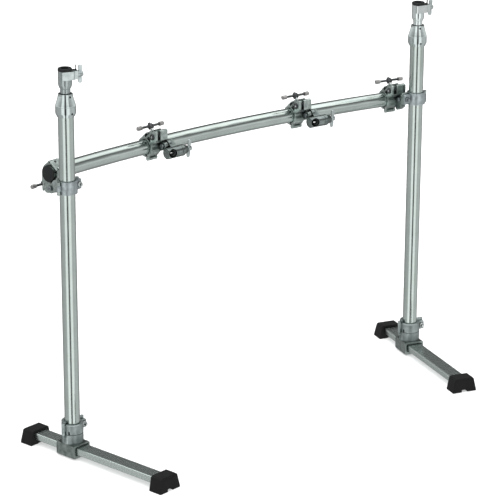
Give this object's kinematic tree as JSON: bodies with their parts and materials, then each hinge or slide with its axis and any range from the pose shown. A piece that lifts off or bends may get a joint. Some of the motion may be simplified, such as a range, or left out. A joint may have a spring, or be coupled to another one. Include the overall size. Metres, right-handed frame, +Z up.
{
  "type": "drum rack frame",
  "caption": "Freestanding drum rack frame: two round posts on T feet, a curved cross bar held by hinged clamps, bar clamps with ball holders, and boom sockets on the posts.",
  "frame": {"origin": "middle of the frame's footprint, on the floor", "axes": "+X from the left post to the right post, +Y to the back, where the bar bows out, +Z up"},
  "size_m": [1.2634, 0.4814, 0.983],
  "materials": {
    "stainless_tube": "stainless tube with a fine lengthwise polish",
    "chrome": "bright chrome plate",
    "casting": "die-cast, satin grey plate",
    "leg_steel": "drawn flat oval tube, satin",
    "knob_steel": "knurled and plated",
    "bolt_steel": "plated steel fastener",
    "black_plastic": "moulded black nylon",
    "rubber": "moulded rubber, matt"
  },
  "bodies": {
    "left_post": {"post_left": "stainless_tube", "post_ferrule_left": "chrome"},
    "bar": {"bar_tube": "stainless_tube", "bar_end_cap_left": "black_plastic", "bar_end_cap_right": "black_plastic", "end_clamp_left_body": "casting", "end_clamp_left_coupling_bolt": "bolt_steel", "post_ring_left_arm": "casting", "end_clamp_right_body": "casting", "end_clamp_right_coupling_bolt": "bolt_steel", "post_ring_right_arm": "casting"},
    "right_post": {"post_right": "stainless_tube", "post_ferrule_right": "chrome"},
    "end_left_jaw": {"end_clamp_left_jaw": "casting"},
    "end_left_nut": {"end_clamp_left_barrel_nut": "bolt_steel"},
    "end_left_t_bolt": {"end_clamp_left_t_bolt": "knob_steel"},
    "end_right_jaw": {"end_clamp_right_jaw": "casting"},
    "end_right_nut": {"end_clamp_right_barrel_nut": "bolt_steel"},
    "end_right_t_bolt": {"end_clamp_right_t_bolt": "knob_steel"},
    "acc_left_clamp": {"accessory_clamp_left_body": "casting", "accessory_clamp_left_coupling_bolt": "bolt_steel"},
    "acc_left_jaw": {"accessory_clamp_left_jaw": "casting"},
    "acc_left_nut": {"accessory_clamp_left_barrel_nut": "bolt_steel"},
    "acc_left_t_bolt": {"accessory_clamp_left_t_bolt": "knob_steel"},
    "acc_left_holder": {"holder_left_body": "casting", "holder_left_cap": "casting"},
    "acc_left_ball": {"holder_left_ball": "black_plastic"},
    "acc_left_wing": {"holder_left_wing_bolt": "chrome"},
    "acc_right_clamp": {"accessory_clamp_right_body": "casting", "accessory_clamp_right_coupling_bolt": "bolt_steel"},
    "acc_right_jaw": {"accessory_clamp_right_jaw": "casting"},
    "acc_right_nut": {"accessory_clamp_right_barrel_nut": "bolt_steel"},
    "acc_right_t_bolt": {"accessory_clamp_right_t_bolt": "knob_steel"},
    "acc_right_holder": {"holder_right_body": "casting", "holder_right_cap": "casting"},
    "acc_right_ball": {"holder_right_ball": "black_plastic"},
    "acc_right_wing": {"holder_right_wing_bolt": "chrome"},
    "left_ring_door": {"post_ring_left_door": "casting"},
    "left_ring_key": {"post_ring_left_key_bolt": "bolt_steel"},
    "left_base": {"leg_tube_left": "leg_steel", "foot_front_left": "rubber", "foot_rear_left": "rubber", "base_casting_left": "casting"},
    "left_base_door": {"base_door_left": "casting"},
    "left_base_key": {"base_key_bolt_left": "bolt_steel"},
    "left_socket": {"boom_socket_left": "chrome", "socket_bushing_left": "black_plastic"},
    "left_socket_wing": {"socket_wing_screw_left": "chrome"},
    "right_ring_door": {"post_ring_right_door": "casting"},
    "right_ring_key": {"post_ring_right_key_bolt": "bolt_steel"},
    "right_base": {"leg_tube_right": "leg_steel", "foot_front_right": "rubber", "foot_rear_right": "rubber", "base_casting_right": "casting"},
    "right_base_door": {"base_door_right": "casting"},
    "right_base_key": {"base_key_bolt_right": "bolt_steel"},
    "right_socket": {"boom_socket_right": "chrome", "socket_bushing_right": "black_plastic"},
    "right_socket_wing": {"socket_wing_screw_right": "chrome"}
  },
  "joints": [
    {"name": "bar_height", "type": "slide", "parent": "left_post", "child": "bar", "axis": [0, 0, 1], "range_m": [-0.54, 0.12]},
    {"name": "right_post_slide", "type": "slide", "parent": "bar", "child": "right_post", "axis": [0, 0, 1], "range_m": [-0.12, 0.54]},
    {"name": "end_left_jaw_open", "type": "hinge", "parent": "bar", "child": "end_left_jaw", "pos_m": [-0.551, 0.13671, 0.71086], "axis": [0.9854, 0.1702, 0], "range_deg": [0, 36]},
    {"name": "end_left_bolt_swing", "type": "hinge", "parent": "bar", "child": "end_left_nut", "pos_m": [-0.55769, 0.17542, 0.66209], "axis": [-0.9854, -0.1702, 0], "range_deg": [0, 126]},
    {"name": "end_left_t_bolt_turn", "type": "hinge", "parent": "end_left_nut", "child": "end_left_t_bolt", "pos_m": [-0.55375, 0.1761, 0.66209], "axis": [-0.1689, 0.9781, 0.1219], "continuous": true},
    {"name": "end_right_jaw_open", "type": "hinge", "parent": "bar", "child": "end_right_jaw", "pos_m": [0.52776, 0.15765, 0.6748], "axis": [-0.9859, 0.1672, 0], "range_deg": [0, 16]},
    {"name": "end_right_bolt_swing", "type": "hinge", "parent": "bar", "child": "end_right_nut", "pos_m": [0.5245, 0.13843, 0.7343], "axis": [0.9859, -0.1672, 0], "range_deg": [0, 126]},
    {"name": "end_right_t_bolt_turn", "type": "hinge", "parent": "end_right_nut", "child": "end_right_t_bolt", "pos_m": [0.52056, 0.1391, 0.7343], "axis": [0.1074, 0.6337, 0.766], "continuous": true},
    {"name": "acc_left_travel", "type": "hinge", "parent": "bar", "child": "acc_left_clamp", "pos_m": [-0.00845, -3.00496, 0.7033], "axis": [0, 0, -1], "range_deg": [-3.88, 2.74]},
    {"name": "acc_left_jaw_open", "type": "hinge", "parent": "acc_left_clamp", "child": "acc_left_jaw", "pos_m": [-0.24146, 0.19432, 0.6748], "axis": [-0.9974, -0.0726, 0], "range_deg": [0, 36]},
    {"name": "acc_left_bolt_swing", "type": "hinge", "parent": "acc_left_clamp", "child": "acc_left_nut", "pos_m": [-0.24004, 0.17487, 0.7343], "axis": [0.9974, 0.0726, 0], "range_deg": [0, 126]},
    {"name": "acc_left_t_bolt_turn", "type": "hinge", "parent": "acc_left_nut", "child": "acc_left_t_bolt", "pos_m": [-0.24403, 0.17458, 0.7343], "axis": [-0.0467, 0.6411, 0.766], "continuous": true},
    {"name": "acc_left_holder_tilt", "type": "hinge", "parent": "acc_left_clamp", "child": "acc_left_holder", "pos_m": [-0.21959, 0.16934, 0.7073], "axis": [-0.9974, -0.0726, 0], "range_deg": [-45, 45]},
    {"name": "acc_left_ball_tilt", "type": "hinge", "parent": "acc_left_holder", "child": "acc_left_ball", "pos_m": [-0.21204, 0.14833, 0.6933], "axis": [-0.9974, -0.0726, 0], "range_deg": [-30, 20]},
    {"name": "acc_left_wing_turn", "type": "hinge", "parent": "acc_left_holder", "child": "acc_left_wing", "pos_m": [-0.15818, 0.15225, 0.6933], "axis": [0.9974, 0.0726, 0], "continuous": true},
    {"name": "acc_right_travel", "type": "hinge", "parent": "bar", "child": "acc_right_clamp", "pos_m": [-0.00845, -3.00496, 0.7033], "axis": [0, 0, -1], "range_deg": [-3.03, 2.65]},
    {"name": "acc_right_jaw_open", "type": "hinge", "parent": "acc_right_clamp", "child": "acc_right_jaw", "pos_m": [0.23064, 0.19387, 0.6748], "axis": [-0.9972, 0.0745, 0], "range_deg": [0, 36]},
    {"name": "acc_right_bolt_swing", "type": "hinge", "parent": "acc_right_clamp", "child": "acc_right_nut", "pos_m": [0.22919, 0.17442, 0.7343], "axis": [0.9972, -0.0745, 0], "range_deg": [0, 126]},
    {"name": "acc_right_t_bolt_turn", "type": "hinge", "parent": "acc_right_nut", "child": "acc_right_t_bolt", "pos_m": [0.2252, 0.17472, 0.7343], "axis": [0.0479, 0.641, 0.766], "continuous": true},
    {"name": "acc_right_holder_tilt", "type": "hinge", "parent": "acc_right_clamp", "child": "acc_right_holder", "pos_m": [0.24861, 0.16595, 0.7073], "axis": [-0.9972, 0.0745, 0], "range_deg": [-45, 45]},
    {"name": "acc_right_ball_tilt", "type": "hinge", "parent": "acc_right_holder", "child": "acc_right_ball", "pos_m": [0.25299, 0.14406, 0.6933], "axis": [-0.9972, 0.0745, 0], "range_deg": [-30, 20]},
    {"name": "acc_right_wing_turn", "type": "hinge", "parent": "acc_right_holder", "child": "acc_right_wing", "pos_m": [0.30684, 0.14004, 0.6933], "axis": [0.9972, -0.0745, 0], "continuous": true},
    {"name": "left_ring_open", "type": "hinge", "parent": "bar", "child": "left_ring_door", "pos_m": [-0.60163, 0.08242, 0.6893], "axis": [0, 0, -1], "range_deg": [0, 100]},
    {"name": "left_ring_key_turn", "type": "hinge", "parent": "left_ring_door", "child": "left_ring_key", "pos_m": [-0.53938, 0.081, 0.6893], "axis": [0.1702, -0.9854, 0], "continuous": true},
    {"name": "left_leg_swivel", "type": "hinge", "parent": "left_post", "child": "left_base", "pos_m": [-0.57345, 0.08729, 0], "axis": [0, 0, 1], "continuous": true},
    {"name": "left_base_open", "type": "hinge", "parent": "left_base", "child": "left_base_door", "pos_m": [-0.60403, 0.08217, 0.0742], "axis": [0, 0, -1], "range_deg": [0, 100]},
    {"name": "left_base_key_turn", "type": "hinge", "parent": "left_base_door", "child": "left_base_key", "pos_m": [-0.53941, 0.08082, 0.0742], "axis": [0.165, -0.9863, 0], "continuous": true},
    {"name": "left_socket_swivel", "type": "hinge", "parent": "left_post", "child": "left_socket", "pos_m": [-0.57345, 0.08729, 0.95], "axis": [0, 0, 1], "continuous": true},
    {"name": "left_socket_wing_turn", "type": "hinge", "parent": "left_socket", "child": "left_socket_wing", "pos_m": [-0.53902, 0.07676, 0.9603], "axis": [0.9563, -0.2924, 0], "continuous": true},
    {"name": "right_ring_open", "type": "hinge", "parent": "bar", "child": "right_ring_door", "pos_m": [0.58475, 0.08251, 0.7198], "axis": [0, 0, 1], "range_deg": [0, 100]},
    {"name": "right_ring_key_turn", "type": "hinge", "parent": "right_ring_door", "child": "right_ring_key", "pos_m": [0.5225, 0.08089, 0.7198], "axis": [-0.1672, -0.9859, 0], "continuous": true},
    {"name": "right_leg_swivel", "type": "hinge", "parent": "right_post", "child": "right_base", "pos_m": [0.55655, 0.08729, 0], "axis": [0, 0, 1], "continuous": true},
    {"name": "right_base_open", "type": "hinge", "parent": "right_base", "child": "right_base_door", "pos_m": [0.52683, 0.09609, 0.0742], "axis": [0, 0, -1], "range_deg": [0, 100]},
    {"name": "right_base_key_turn", "type": "hinge", "parent": "right_base_door", "child": "right_base_key", "pos_m": [0.5843, 0.06655, 0.0742], "axis": [-0.284, -0.9588, 0], "continuous": true},
    {"name": "right_socket_swivel", "type": "hinge", "parent": "right_post", "child": "right_socket", "pos_m": [0.55655, 0.08729, 0.95], "axis": [0, 0, 1], "continuous": true},
    {"name": "right_socket_wing_turn", "type": "hinge", "parent": "right_socket", "child": "right_socket_wing", "pos_m": [0.59176, 0.07981, 0.9603], "axis": [0.9781, -0.2079, 0], "continuous": true}
  ],
  "couplings": [
    {"joint": "right_post_slide", "follows": "bar_height", "ratio": -1},
    {"joint": "end_left_bolt_swing", "follows": "end_left_jaw_open", "ratio": 3.5},
    {"joint": "end_right_bolt_swing", "follows": "end_right_jaw_open", "ratio": 3.5},
    {"joint": "acc_left_bolt_swing", "follows": "acc_left_jaw_open", "ratio": 3.5},
    {"joint": "acc_right_bolt_swing", "follows": "acc_right_jaw_open", "ratio": 3.5}
  ]
}
